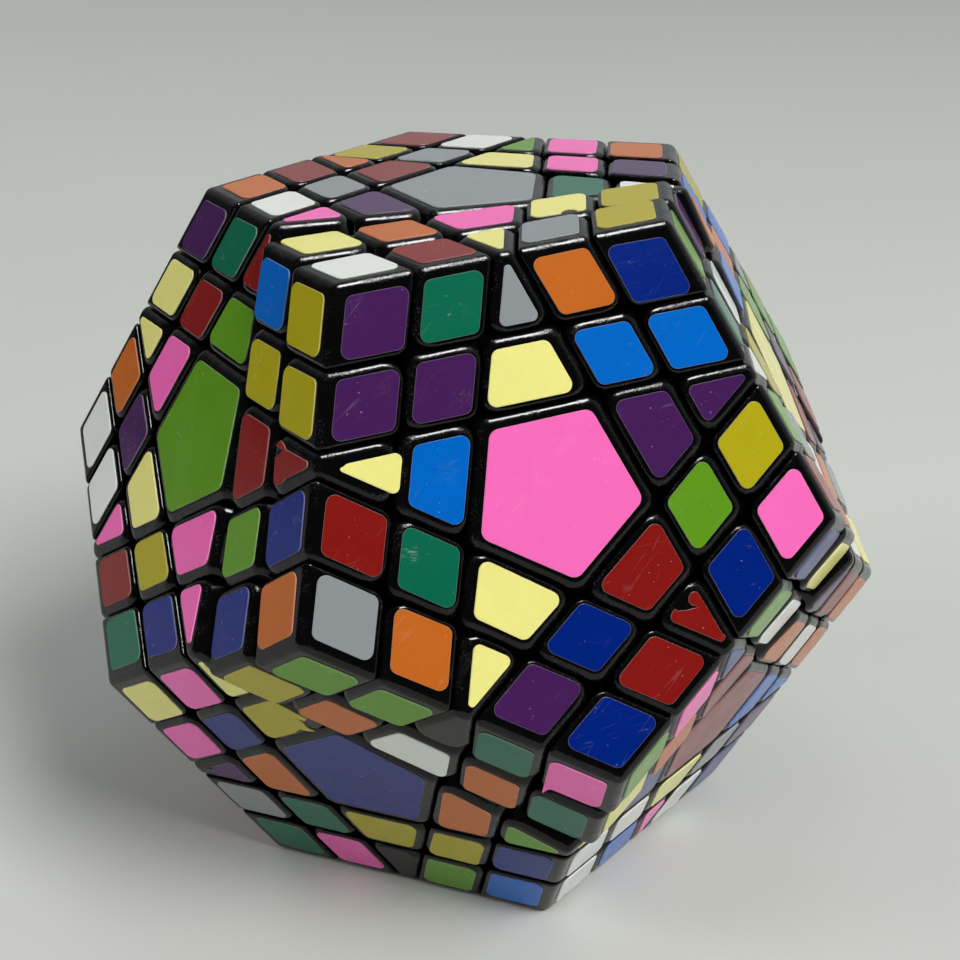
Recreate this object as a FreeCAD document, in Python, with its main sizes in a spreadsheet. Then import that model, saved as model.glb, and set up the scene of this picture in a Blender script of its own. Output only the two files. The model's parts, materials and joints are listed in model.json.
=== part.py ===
import FreeCAD, Part
import Sketcher
import math
import os

# Five-layer dodecahedron twisty puzzle.
#
# Every cut between two layers is a surface of revolution about a face axis: a plane near the
# outside, then steps on spheres further in, where each piece grows a foot that reaches under its
# neighbour. So each face can turn, and the feet hold the pieces on the core. Each kind of piece is
# modelled once, under a face whose outward normal is +Z, and copied to every place where the
# puzzle has one. Inside, a ball with twelve flats carries a sprung screw for each centre.
#
# Origin: middle of the face that the puzzle rests on, at the outer side of its stickers. +Z up,
# the turned front face looks along -Y and 26.6 degrees upwards. Its two layers stand turned by
# different angles, and so do those of the upper back right face.

Vector = FreeCAD.Vector
Rotation = FreeCAD.Rotation
Placement = FreeCAD.Placement

doc = FreeCAD.newDocument("DodecahedronPuzzle")
sheet = doc.addObject("Spreadsheet::Sheet", "Sizes")

DRIVING_SIZES = {
    "edge_length": 48.0,         # of the sharp dodecahedron that the plastic faces lie on
    "outer_cut_inset": 11.25,    # outer cut line, measured on a face from its edge
    "second_cut_inset": 21.6,    # second cut line, likewise
    "outer_foot_plane": 41.5,    # outer cut below outer_foot_radius, from the centre
    "outer_foot_radius": 56.0,
    "second_foot_plane": 32.0,   # second cut below second_foot_radius, from the centre
    "second_foot_radius": 52.6,
    "inner_foot_plane": 29.0,    # second cut below inner_foot_radius, from the centre
    "inner_foot_radius": 42.0,
    "running_gap": 0.15,         # from each cut surface to the plastic on either side
    "sticker_thickness": 0.2,
    "sticker_margin": 1.0,       # from a cut line to the sticker
    "sticker_edge_margin": 1.7,  # from an edge of the dodecahedron to the sticker
    "sticker_corner": 1.2,
    "small_sticker_corner": 0.7,
    "front_outer_turn": 5.3,     # degrees that each turning layer stands turned at rest
    "front_second_turn": 3.6,
    "back_outer_turn": -2.0,
    "back_second_turn": -1.5,
    "left_outer_turn": 0.0,
    "left_second_turn": 0.0,
    "core_radius": 32.5,
    "core_flat": 28.0,           # distance of the ball's flats from the centre
    "pilot_radius": 1.6,
    "pilot_depth": 18.0,
    "stalk_base": 28.25,
    "stalk_radius": 7.0,
    "flange_base": 38.5,
    "flange_top": 41.65,
    "bore_radius": 4.2,
    "bore_floor": 31.0,
    "shank_hole_radius": 2.0,
    "cap_joint": 51.0,           # plane between the stalk's head and the cap
    "spigot_radius": 4.1,
    "spigot_length": 4.0,
    "screw_tip": 11.5,
    "screw_tip_length": 2.5,
    "shank_radius": 1.5,
    "screw_seat": 38.75,
    "screw_head_radius": 3.1,
    "screw_head_height": 2.2,
    "slot_width": 0.8,
    "slot_length": 3.6,
    "slot_depth": 1.2,
    "washer_base": 38.1,
    "washer_thickness": 0.5,
    "washer_hole_radius": 1.8,
    "washer_radius": 3.8,
    "spring_base": 31.45,
    "spring_height": 6.2,
    "spring_turns": 5.0,
    "spring_radius": 2.85,
    "spring_wire_radius": 0.35,
}
for row, (alias, value) in enumerate(DRIVING_SIZES.items(), start=1):
    sheet.set("A%d" % row, alias)
    sheet.set("B%d" % row, str(value))
    sheet.setAlias("B%d" % row, alias)
doc.recompute()


def size(alias):
    return float(sheet.get(alias))


# ---------------------------------------------------------------- shape of the dodecahedron

GOLDEN = (1 + math.sqrt(5)) / 2
FACE_ANGLE = math.atan(2)                # between the normals of two faces that share an edge
COS_FACE = math.cos(FACE_ANGLE)
SIN_FACE = math.sin(FACE_ANGLE)
SIDE_STEP = 2 * math.pi / 5              # between two neighbours, seen along a face normal
FACE_DISTANCE = size("edge_length") * GOLDEN ** 2 / (2 * math.sqrt(3 - GOLDEN))
APOTHEM = size("edge_length") / (2 * math.tan(SIDE_STEP / 2))
GAP = size("running_gap")
CENTRE_HEIGHT = FACE_DISTANCE + size("sticker_thickness")


def direction(azimuth_deg, height_cosine):
    azimuth = math.radians(azimuth_deg)
    return Vector(math.cos(azimuth) * SIN_FACE, math.sin(azimuth) * SIN_FACE, height_cosine)


NORMALS = {"top": Vector(0, 0, 1), "bottom": Vector(0, 0, -1)}
UPPER_RING = ["front", "upper_right", "upper_back_right", "upper_back_left", "upper_left"]
LOWER_RING = ["lower_front_right", "lower_right", "lower_back", "lower_left", "lower_front_left"]
for step, name in enumerate(UPPER_RING):
    NORMALS[name] = direction(-90 + 72 * step, COS_FACE)
for step, name in enumerate(LOWER_RING):
    NORMALS[name] = direction(-54 + 72 * step, -COS_FACE)


def frame_axes(face, neighbour):
    """Axes of the frame whose +Z is the face's normal and whose +X points at a neighbour."""
    z_axis = NORMALS[face]
    x_axis = (NORMALS[neighbour] - z_axis * COS_FACE).normalize()
    return x_axis, z_axis.cross(x_axis), z_axis


def ring(face, first):
    """The five neighbours of a face, counter-clockwise seen from outside, starting with one."""
    x_axis, y_axis, z_axis = frame_axes(face, first)
    neighbours = [name for name in NORMALS if abs(NORMALS[name].dot(z_axis) - COS_FACE) < 0.01]

    def turn(name):
        angle = math.atan2(NORMALS[name].dot(y_axis), NORMALS[name].dot(x_axis))
        return round(angle / SIDE_STEP) % 5

    return sorted(neighbours, key=turn)


def all_frames():
    """Every (face, neighbour) pair: the sixty ways to lay a face on another."""
    pairs = []
    for face in NORMALS:
        for neighbour in NORMALS:
            if abs(NORMALS[neighbour].dot(NORMALS[face]) - COS_FACE) < 0.01:
                pairs.append((face, neighbour))
    return pairs


# Normals in the modelling frame: index 5 is the face itself, 0 to 4 its neighbours.
TOP = 5
LOCAL_NORMALS = []
for index in range(5):
    LOCAL_NORMALS.append(direction(72 * index, COS_FACE))
LOCAL_NORMALS.append(Vector(0, 0, 1))


# ---------------------------------------------------------------- solids from planes

def meeting_point(first, second, third):
    """Point on three planes, each (normal, distance), or None where they don't meet."""
    cross = second[0].cross(third[0])
    spread = first[0].dot(cross)
    if abs(spread) < 1e-9:
        return None
    point = cross * first[1]
    point += third[0].cross(first[0]) * second[1]
    point += first[0].cross(second[0]) * third[1]
    return point * (1 / spread)


def polyhedron(planes):
    """Closed solid of the points with normal . point <= distance for every plane."""
    tolerance = 1e-6
    corners = [[] for _ in planes]
    count = len(planes)
    for a in range(count):
        for b in range(a + 1, count):
            for c in range(b + 1, count):
                point = meeting_point(planes[a], planes[b], planes[c])
                if point is None:
                    continue
                if any(normal.dot(point) > distance + tolerance for normal, distance in planes):
                    continue
                for index in (a, b, c):
                    if all(point.distanceToPoint(other) > tolerance for other in corners[index]):
                        corners[index].append(point)
    faces = []
    for (normal, distance), points in zip(planes, corners):
        if len(points) < 3:
            continue
        middle = sum(points, Vector()) * (1 / len(points))
        x_axis = (points[0] - middle).normalize()
        y_axis = normal.cross(x_axis)
        points.sort(key=lambda p: math.atan2((p - middle).dot(y_axis), (p - middle).dot(x_axis)))
        faces.append(Part.Face(Part.makePolygon(points + [points[0]])))
    shell = Part.Shell(faces)
    shell.sewShape()
    solid = Part.Solid(shell)
    if solid.Volume < 0:
        solid.reverse()
    return solid


# ---------------------------------------------------------------- layers

OUTER_CUT = FACE_DISTANCE - SIN_FACE * size("outer_cut_inset")
SECOND_CUT = FACE_DISTANCE - SIN_FACE * size("second_cut_inset")

# Shells from the outside in: inner radius, outer cut and second cut inside that shell.
SHELLS = [
    (size("outer_foot_radius"), OUTER_CUT, SECOND_CUT),
    (size("second_foot_radius"), size("outer_foot_plane"), SECOND_CUT),
    (size("inner_foot_radius"), size("outer_foot_plane"), size("second_foot_plane")),
    (0.0, size("outer_foot_plane"), size("inner_foot_plane")),
]


def layer_planes(layers, outer_cut, second_cut):
    """Planes that bound a piece in one shell. layers: normal's index -> 0 outer, 1 second, 2 inside."""
    planes = []
    for index, layer in layers.items():
        normal = LOCAL_NORMALS[index]
        highest = (FACE_DISTANCE, outer_cut - GAP, second_cut - GAP)[layer]
        planes.append((normal, highest))
        if layer < 2:
            lowest = (outer_cut + GAP, second_cut + GAP)[layer]
            planes.append((normal * -1, -lowest))
    return planes


def single_solid(shape):
    if len(shape.Solids) != 1:
        raise RuntimeError("a piece came out as %d solids" % len(shape.Solids))
    return shape.Solids[0]


def layered_piece(layers, shells):
    """A piece with its feet, through the given shells from the outside in."""
    parts = []
    above = None
    radius_above = None
    for radius, outer_cut, second_cut in shells:
        block = polyhedron(layer_planes(layers, outer_cut, second_cut))
        slab = block
        if above is not None:
            slab = slab.common(Part.makeSphere(radius_above - GAP))
            neck = above.common(block).common(Part.makeSphere(radius_above + GAP))
            parts.append(neck.cut(Part.makeSphere(radius_above - GAP)))
        if radius > 0 and (radius, outer_cut, second_cut) != shells[-1]:
            slab = slab.cut(Part.makeSphere(radius + GAP))
        parts.append(slab)
        above = block
        radius_above = radius
    return single_solid(parts[0].multiFuse(parts[1:]).removeSplitter())


OUTSIDE = SHELLS[:3]
INSIDE = SHELLS[2:]

# Kinds of piece: the layer that each normal sees it in, and the shells that it reaches through.
# One copy stands for the frames that would make the same piece again.
PIECE_KINDS = {
    "corners": ({TOP: 0, 0: 0, 1: 0}, OUTSIDE),
    "wings": ({TOP: 0, 0: 0, 1: 1}, OUTSIDE),
    "middle_edges": ({TOP: 0, 0: 0, 1: 2, 4: 2}, OUTSIDE),
    "x_centres": ({TOP: 0, 0: 1, 1: 1}, OUTSIDE),
    "t_centres": ({TOP: 0, 0: 1, 1: 2, 4: 2}, OUTSIDE),
    "inner_edges": ({TOP: 1, 0: 1, 1: 2, 4: 2}, INSIDE),
    "inner_corners": ({TOP: 1, 0: 1, 1: 1}, INSIDE),
}
CENTRE_LAYERS = {TOP: 0, 0: 2, 1: 2, 2: 2, 3: 2, 4: 2}


# ---------------------------------------------------------------- objects of the document

def add(kind, name, **expressions):
    """Add an object and bind its sizes to the sheet, such as Radius="core_radius"."""
    item = doc.addObject(kind, name)
    for property_name, expression in expressions.items():
        item.setExpression(property_name, expression)
    return item


def bound(text):
    """Expression with every alias of the sheet written as Sizes.alias."""
    words = text.split()
    return " ".join("Sizes." + word if word in DRIVING_SIZES else word for word in words)


def cylinder(name, radius, bottom, height):
    item = add("Part::Cylinder", name, Radius=bound(radius), Height=bound(height))
    item.setExpression(".Placement.Base.z", bound(bottom))
    return item


def feature(name, shape):
    item = doc.addObject("Part::Feature", name)
    item.Shape = shape
    return item


def join(name, items):
    item = doc.addObject("Part::MultiFuse", name)
    item.Shapes = items
    return item


def subtract(name, base, tool):
    item = doc.addObject("Part::Cut", name)
    item.Base = base
    item.Tool = tool
    return item


def body_plane(body, role):
    return next(item for item in body.Origin.OriginFeatures if item.Role == role)


def make_screw():
    """Pan-head screw with a cross slot, tip towards the core."""
    shank = cylinder("ScrewShank", "shank_radius", "screw_tip + screw_tip_length",
                     "screw_seat - screw_tip - screw_tip_length")
    tip = add("Part::Cone", "ScrewTip", Radius1=bound("shank_radius / 4"), Radius2=bound("shank_radius"),
              Height=bound("screw_tip_length"))
    tip.setExpression(".Placement.Base.z", bound("screw_tip"))
    head = cylinder("ScrewHeadBlank", "screw_head_radius", "screw_seat", "screw_head_height")
    doc.recompute()
    top_edge = 1 + max(range(3), key=lambda index: head.Shape.Edges[index].BoundBox.ZMin)
    pan = doc.addObject("Part::Fillet", "ScrewHead")
    pan.Base = head
    pan.Edges = [(top_edge, 0.9, 0.9)]
    slots = []
    for index, (along, across) in enumerate([("slot_length", "slot_width"), ("slot_width", "slot_length")]):
        slot = add("Part::Box", "ScrewSlot%d" % index, Length=bound(along), Width=bound(across),
                   Height=bound("slot_depth"))
        slot.setExpression(".Placement.Base.x", bound("-1 * " + along + " / 2"))
        slot.setExpression(".Placement.Base.y", bound("-1 * " + across + " / 2"))
        slot.setExpression(".Placement.Base.z", bound("screw_seat + screw_head_height - slot_depth"))
        slots.append(slot)
    return subtract("Screw", join("ScrewBlank", [shank, tip, pan]), join("CrossSlot", slots))


def make_washer():
    """Flat ring, padded from a sketch of two circles."""
    body = doc.addObject("PartDesign::Body", "Washer")
    sketch = body.newObject("Sketcher::SketchObject", "WasherOutline")
    sketch.AttachmentSupport = [(body_plane(body, "XY_Plane"), "")]
    sketch.MapMode = "FlatFace"
    for alias in ("washer_radius", "washer_hole_radius"):
        circle = sketch.addGeometry(Part.Circle(Vector(), Vector(0, 0, 1), size(alias)), False)
        sketch.addConstraint(Sketcher.Constraint("Coincident", circle, 3, -1, 1))
        constraint = sketch.addConstraint(Sketcher.Constraint("Radius", circle, size(alias)))
        sketch.setExpression("Constraints[%d]" % constraint, bound(alias))
    pad = body.newObject("PartDesign::Pad", "WasherPad")
    pad.Profile = sketch
    pad.setExpression("Length", bound("washer_thickness"))
    body.Tip = pad
    body.setExpression(".Placement.Base.z", bound("washer_base"))
    return body


def make_spring():
    """Compression spring: a round wire swept along a helix."""
    helix = add("Part::Helix", "SpringPath", Pitch=bound("spring_height / spring_turns"),
                Height=bound("spring_height"), Radius=bound("spring_radius"))
    wire = add("Part::Circle", "SpringWire", Radius=bound("spring_wire_radius"))
    wire.Placement = Placement(Vector(size("spring_radius"), 0, 0), Rotation(Vector(1, 0, 0), 90))
    sweep = doc.addObject("Part::Sweep", "Spring")
    sweep.Sections = [wire]
    sweep.Spine = helix
    sweep.Solid = True
    sweep.Frenet = True
    sweep.setExpression(".Placement.Base.z", bound("spring_base"))
    return sweep


def flange_radius(height):
    """Expression for the flange's radius at a height, clear of the second layers around it."""
    angle = math.degrees(FACE_ANGLE)
    reach = "second_foot_plane - running_gap - %s * cos(%s)" % (height, angle)
    return bound("( %s ) / sin(%s)" % (reach, angle))


def make_stalk():
    """Centre stalk: tube that turns on the screw, flange over the inner feet, head under the cap."""
    tube = cylinder("StalkTube", "stalk_radius", "stalk_base", "flange_top - stalk_base")
    cone = add("Part::Cone", "FlangeCone", Radius1=flange_radius("flange_base"),
               Radius2=flange_radius("flange_top"), Height=bound("flange_top - flange_base"))
    cone.setExpression(".Placement.Base.z", bound("flange_base"))
    dome = add("Part::Sphere", "FlangeDome", Radius=bound("inner_foot_radius + running_gap"))
    flange = subtract("Flange", cone, dome)
    outer_cut = size("outer_foot_plane")
    planes = layer_planes(CENTRE_LAYERS, outer_cut, size("second_foot_plane"))
    planes[0] = (LOCAL_NORMALS[TOP], size("cap_joint"))
    block = polyhedron(planes).common(Part.makeSphere(size("second_foot_radius") - GAP))
    head = feature("StalkHead", block)
    solid = join("StalkBlank", [tube, flange, head])
    bore = cylinder("StalkBore", "bore_radius", "bore_floor", "cap_joint - bore_floor + 1")
    hole = cylinder("ShankHole", "shank_hole_radius", "stalk_base - 1", "bore_floor - stalk_base + 2")
    return subtract("CentreStalk", solid, join("StalkBores", [bore, hole]))


def make_cap():
    """Pentagonal cap whose spigot plugs the stalk's bore."""
    planes = layer_planes(CENTRE_LAYERS, OUTER_CUT, SECOND_CUT)
    planes[1] = (LOCAL_NORMALS[TOP] * -1, -size("cap_joint"))
    plate = polyhedron(planes)
    overhang = polyhedron(layer_planes(CENTRE_LAYERS, size("outer_foot_plane"), size("second_foot_plane")))
    rim = plate.cut(Part.makeSphere(size("second_foot_radius") + GAP))
    middle = plate.common(overhang).common(Part.makeSphere(size("second_foot_radius") + GAP))
    lid = single_solid(rim.fuse(middle).removeSplitter())
    plate_feature = feature("CapPlate", lid)
    spigot = cylinder("CapSpigot", "spigot_radius", "cap_joint - spigot_length", "spigot_length")
    return join("CentreCap", [plate_feature, spigot])


def make_core():
    """Ball with twelve flats, each with the pilot hole of a screw."""
    ball = add("Part::Sphere", "CoreBall", Radius=bound("core_radius"))
    flats = feature("CoreFlats", polyhedron([(normal, size("core_flat")) for normal in NORMALS.values()]))
    block = doc.addObject("Part::MultiCommon", "CoreBlank")
    block.Shapes = [ball, flats]
    pilot = Part.makeCylinder(size("pilot_radius"), size("pilot_depth") + 5,
                              Vector(0, 0, size("core_flat") - size("pilot_depth")))
    pilots = [pilot.transformed(face_matrix(face)) for face in NORMALS]
    holes = feature("PilotHoles", Part.makeCompound(pilots))
    return subtract("CoreBody", block, holes)


# ---------------------------------------------------------------- where the copies go

def frame_matrix(face, neighbour):
    x_axis, y_axis, z_axis = frame_axes(face, neighbour)
    return Placement(Vector(), Rotation(x_axis, y_axis, z_axis, "ZXY")).toMatrix()


def first_neighbour(face):
    return next(name for name in NORMALS if abs(NORMALS[name].dot(NORMALS[face]) - COS_FACE) < 0.01)


def face_matrix(face):
    return frame_matrix(face, first_neighbour(face))


# Faces whose two layers turn: three that share no edge, so their layers hold no piece in common.
TURNING_FACES = {"front": "front", "back": "upper_back_right", "left": "lower_left"}
REST = Placement(Vector(0, 0, CENTRE_HEIGHT), Rotation())


def local_faces(face, neighbour):
    """Names of the faces that the modelling frame's normals point at."""
    names = ring(face, neighbour)
    return {0: names[0], 1: names[1], 2: names[2], 3: names[3], 4: names[4], TOP: face}


def group_of(layers, names):
    """Prefix of the nodes that a piece goes to: its turning face and layer, or none."""
    for prefix, turning_face in TURNING_FACES.items():
        for index, layer in layers.items():
            if names[index] == turning_face and layer == 0:
                return prefix + "_outer_"
            if names[index] == turning_face and layer == 1:
                return prefix + "_second_"
    return ""


nodes = {}


def place(group, node, solid, matrix):
    nodes.setdefault(group + node, []).append(solid.transformed(matrix))


def place_pieces():
    for node, (layers, shells) in PIECE_KINDS.items():
        solid = layered_piece(layers, shells)
        placed = set()
        for face, neighbour in all_frames():
            names = local_faces(face, neighbour)
            key = frozenset((names[index], layer) for index, layer in layers.items() if layer < 2)
            if key not in placed:
                placed.add(key)
                place(group_of(layers, names), node, solid, frame_matrix(face, neighbour))


def place_centres():
    """Caps and stalks turn with their outer layer; screws, springs and washers stay on the core."""
    stalk = make_stalk()
    cap = make_cap()
    fixed = {"screws": make_screw(), "washers": make_washer(), "springs": make_spring()}
    doc.recompute()
    for face in NORMALS:
        names = local_faces(face, first_neighbour(face))
        group = group_of(CENTRE_LAYERS, names)
        plural = "" if group else "s"
        place(group, "centre_stalk" + plural, single_solid(stalk.Shape), face_matrix(face))
        place(group, "centre_cap" + plural, single_solid(cap.Shape), face_matrix(face))
        for node, item in fixed.items():
            place("", node, single_solid(item.Shape), face_matrix(face))


# ---------------------------------------------------------------- stickers

# Layers of the piece under each sticker, and the corner size. Index 0 is the nearest neighbour.
STICKER_KINDS = {
    "corner": ({TOP: 0, 0: 0, 1: 0}, "sticker_corner"),
    "wing": ({TOP: 0, 0: 0, 1: 1}, "sticker_corner"),
    "wing_mirrored": ({TOP: 0, 0: 0, 4: 1}, "sticker_corner"),
    "middle_edge": ({TOP: 0, 0: 0, 1: 2, 4: 2}, "small_sticker_corner"),
    "x_centre": ({TOP: 0, 0: 1, 1: 1}, "sticker_corner"),
    "t_centre": ({TOP: 0, 0: 1, 1: 2, 4: 2}, "sticker_corner"),
    "centre": (CENTRE_LAYERS, "sticker_corner"),
}

# Two middle edges of the lower front left face have lost their stickers.
MISSING = [("lower_front_left", "front", "middle_edge"), ("lower_front_left", "bottom", "middle_edge")]


def sticker(layers, corner):
    """Thin plate on the face, inset from the lines around its piece, with round corners."""
    planes = [(LOCAL_NORMALS[TOP], FACE_DISTANCE + size("sticker_thickness")),
              (LOCAL_NORMALS[TOP] * -1, -FACE_DISTANCE)]
    for index, layer in layers.items():
        if index == TOP:
            continue
        outward = Vector(LOCAL_NORMALS[index].x, LOCAL_NORMALS[index].y, 0).normalize()
        outer_line = APOTHEM - size("outer_cut_inset")
        second_line = APOTHEM - size("second_cut_inset")
        edge_line = APOTHEM - size("sticker_edge_margin") + size("sticker_margin")
        highest = (edge_line, outer_line, second_line)[layer]
        planes.append((outward, highest - size("sticker_margin")))
        if layer < 2:
            lowest = (outer_line, second_line)[layer]
            planes.append((outward * -1, -(lowest + size("sticker_margin"))))
    plate = polyhedron(planes)
    upright = [edge for edge in plate.Edges if abs(edge.tangentAt(edge.FirstParameter).z) > 0.99]
    return single_solid(plate.makeFillet(size(corner), upright))


def place_stickers():
    for kind, (layers, corner) in STICKER_KINDS.items():
        solid = sticker(layers, corner)
        for face, neighbour in all_frames():
            if kind == "centre" and neighbour != first_neighbour(face):
                continue
            if (face, neighbour, kind) in MISSING:
                continue
            names = local_faces(face, neighbour)
            group = group_of(layers, names)
            node = "resting_face_stickers" if face == "bottom" and not group else "stickers"
            place(group, node, solid, frame_matrix(face, neighbour))


place_pieces()
place_centres()
place_stickers()
core = make_core()
doc.recompute()
nodes["core"] = [single_solid(core.Shape)]

# ---------------------------------------------------------------- one sub-part for each node

def rest_placement(node):
    """Where a node's pieces stand: on the resting face, each layer turned as it was left."""
    for prefix, face in TURNING_FACES.items():
        for layer in ("outer", "second"):
            if node.startswith("%s_%s_" % (prefix, layer)):
                turn = Rotation(NORMALS[face], size("%s_%s_turn" % (prefix, layer)))
                return REST.multiply(Placement(Vector(), turn))
    return REST


subparts = []
for node, solids in nodes.items():
    subpart = doc.addObject("Part::Feature", "Node_" + node)
    subpart.Label = node
    subpart.Shape = Part.makeCompound(solids)
    subpart.Placement = rest_placement(node)
    subparts.append(subpart)
doc.recompute()

for item in doc.Objects:
    if "Invalid" in item.State or "Error" in item.State:
        raise RuntimeError("%s: %s" % (item.Name, item.State))
os.makedirs("parts", exist_ok=True)
volume = 0.0
for subpart in subparts:
    if subpart.Shape.isNull() or not subpart.Shape.isValid():
        raise RuntimeError("%s has no valid shape" % subpart.Label)
    subpart.Shape.exportStep("parts/%s.step" % subpart.Label)
    volume += subpart.Shape.Volume
    print("%-32s %3d solids %10.1f mm3" % (subpart.Label, len(subpart.Shape.Solids), subpart.Shape.Volume))
print("%d nodes, %.1f cm3" % (len(subparts), volume / 1000))
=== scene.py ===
import json
import math
import random

import bmesh
import bpy
from mathutils import Matrix, Vector

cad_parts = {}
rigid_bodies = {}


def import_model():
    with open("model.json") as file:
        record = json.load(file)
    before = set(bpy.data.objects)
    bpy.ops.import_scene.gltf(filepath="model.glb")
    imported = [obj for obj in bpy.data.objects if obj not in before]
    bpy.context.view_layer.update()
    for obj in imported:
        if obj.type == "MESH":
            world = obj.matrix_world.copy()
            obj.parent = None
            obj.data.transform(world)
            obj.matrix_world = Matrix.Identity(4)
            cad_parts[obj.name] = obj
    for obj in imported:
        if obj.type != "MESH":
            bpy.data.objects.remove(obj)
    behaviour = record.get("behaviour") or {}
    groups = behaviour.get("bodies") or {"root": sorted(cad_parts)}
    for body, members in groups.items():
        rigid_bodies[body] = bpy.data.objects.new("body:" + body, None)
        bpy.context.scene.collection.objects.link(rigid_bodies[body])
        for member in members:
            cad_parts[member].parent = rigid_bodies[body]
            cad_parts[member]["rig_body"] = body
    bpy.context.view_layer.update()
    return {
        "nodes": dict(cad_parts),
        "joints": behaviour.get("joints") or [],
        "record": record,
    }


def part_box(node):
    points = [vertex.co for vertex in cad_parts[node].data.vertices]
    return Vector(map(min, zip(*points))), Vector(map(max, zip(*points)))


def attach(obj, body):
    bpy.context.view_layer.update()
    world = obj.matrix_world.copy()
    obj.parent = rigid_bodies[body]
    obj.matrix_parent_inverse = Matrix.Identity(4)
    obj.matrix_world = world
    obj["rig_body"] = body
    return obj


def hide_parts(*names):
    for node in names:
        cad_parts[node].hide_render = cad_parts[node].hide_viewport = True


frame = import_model()

MM = 0.001

# ---------------------------------------------------------------- shape of the dodecahedron

GOLDEN = (1 + math.sqrt(5)) / 2
COS_FACE = 1 / math.sqrt(5)              # between the normals of two faces that share an edge
SIN_FACE = 2 / math.sqrt(5)
SIDE_STEP = math.radians(72)             # between two neighbours, seen along a face normal
STICKER_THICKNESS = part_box("resting_face_stickers")[1].z
CENTRE = Vector(frame["joints"][0]["pos_m"])
FACE_DISTANCE = CENTRE.z - STICKER_THICKNESS
EDGE = FACE_DISTANCE * 2 * math.sqrt(3 - GOLDEN) / GOLDEN ** 2
APOTHEM = EDGE / (2 * math.tan(SIDE_STEP / 2))
OUTER_LINE = APOTHEM - 11.25 * MM        # the two cut lines, from the middle of a face
SECOND_LINE = APOTHEM - 21.6 * MM
OUTER_CUT = FACE_DISTANCE * COS_FACE + OUTER_LINE * SIN_FACE
SECOND_CUT = FACE_DISTANCE * COS_FACE + SECOND_LINE * SIN_FACE

# Angles that the layers of the turning faces stand turned at rest, as in the CAD.
REST_TURNS = {
    "front_outer_layer": ("front", math.radians(5.3)),
    "front_second_layer": ("front", math.radians(3.6)),
    "back_outer_layer": ("upper_back_right", math.radians(-2.0)),
    "back_second_layer": ("upper_back_right", math.radians(-1.5)),
}


def direction(azimuth_deg, height_cosine):
    azimuth = math.radians(azimuth_deg)
    return Vector((math.cos(azimuth) * SIN_FACE, math.sin(azimuth) * SIN_FACE, height_cosine))


UPPER_RING = ["front", "upper_right", "upper_back_right", "upper_back_left", "upper_left"]
LOWER_RING = ["lower_front_right", "lower_right", "lower_back", "lower_left", "lower_front_left"]
NORMALS = {"top": Vector((0, 0, 1)), "bottom": Vector((0, 0, -1))}
for step, name in enumerate(UPPER_RING):
    NORMALS[name] = direction(-90 + 72 * step, COS_FACE)
for step, name in enumerate(LOWER_RING):
    NORMALS[name] = direction(-54 + 72 * step, -COS_FACE)

# Faces whose two layers turn, with the prefix of their bodies and nodes.
TURNING_FACES = {"front": "front", "back": "upper_back_right", "left": "lower_left"}


def are_neighbours(one, other):
    return abs(NORMALS[one].dot(NORMALS[other]) - COS_FACE) < 0.01


def face_axes(face, neighbour):
    """Axes with +Z along the face's normal and +X towards a neighbour."""
    z_axis = NORMALS[face]
    x_axis = (NORMALS[neighbour] - z_axis * COS_FACE).normalized()
    return x_axis, z_axis.cross(x_axis), z_axis


def ring(face, first):
    """The five neighbours of a face, counter-clockwise seen from outside, starting with one."""
    x_axis, y_axis, _ = face_axes(face, first)
    neighbours = [name for name in NORMALS if are_neighbours(face, name)]

    def turn(name):
        angle = math.atan2(NORMALS[name].dot(y_axis), NORMALS[name].dot(x_axis))
        return round(angle / SIDE_STEP) % 5

    return sorted(neighbours, key=turn)


def face_matrix(face, neighbour):
    """From a face's own frame, with Z measured from the puzzle's centre, to the puzzle's."""
    x_axis, y_axis, z_axis = face_axes(face, neighbour)
    return Matrix((x_axis, y_axis, z_axis)).transposed().to_4x4()


def rest_matrix(body):
    """From the puzzle's frame before any layer turned to the row frame."""
    lift = Matrix.Translation(CENTRE)
    if body in REST_TURNS:
        face, turn = REST_TURNS[body]
        return lift @ Matrix.Rotation(turn, 4, NORMALS[face])
    return lift


def body_at(point):
    """The body that holds a point of the outside, before any layer turned."""
    for prefix, face in TURNING_FACES.items():
        depth = NORMALS[face].dot(point)
        if depth > OUTER_CUT:
            return prefix + "_outer_layer"
        if depth > SECOND_CUT:
            return prefix + "_second_layer"
    return "root"


# ---------------------------------------------------------------- node helpers for materials

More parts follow.
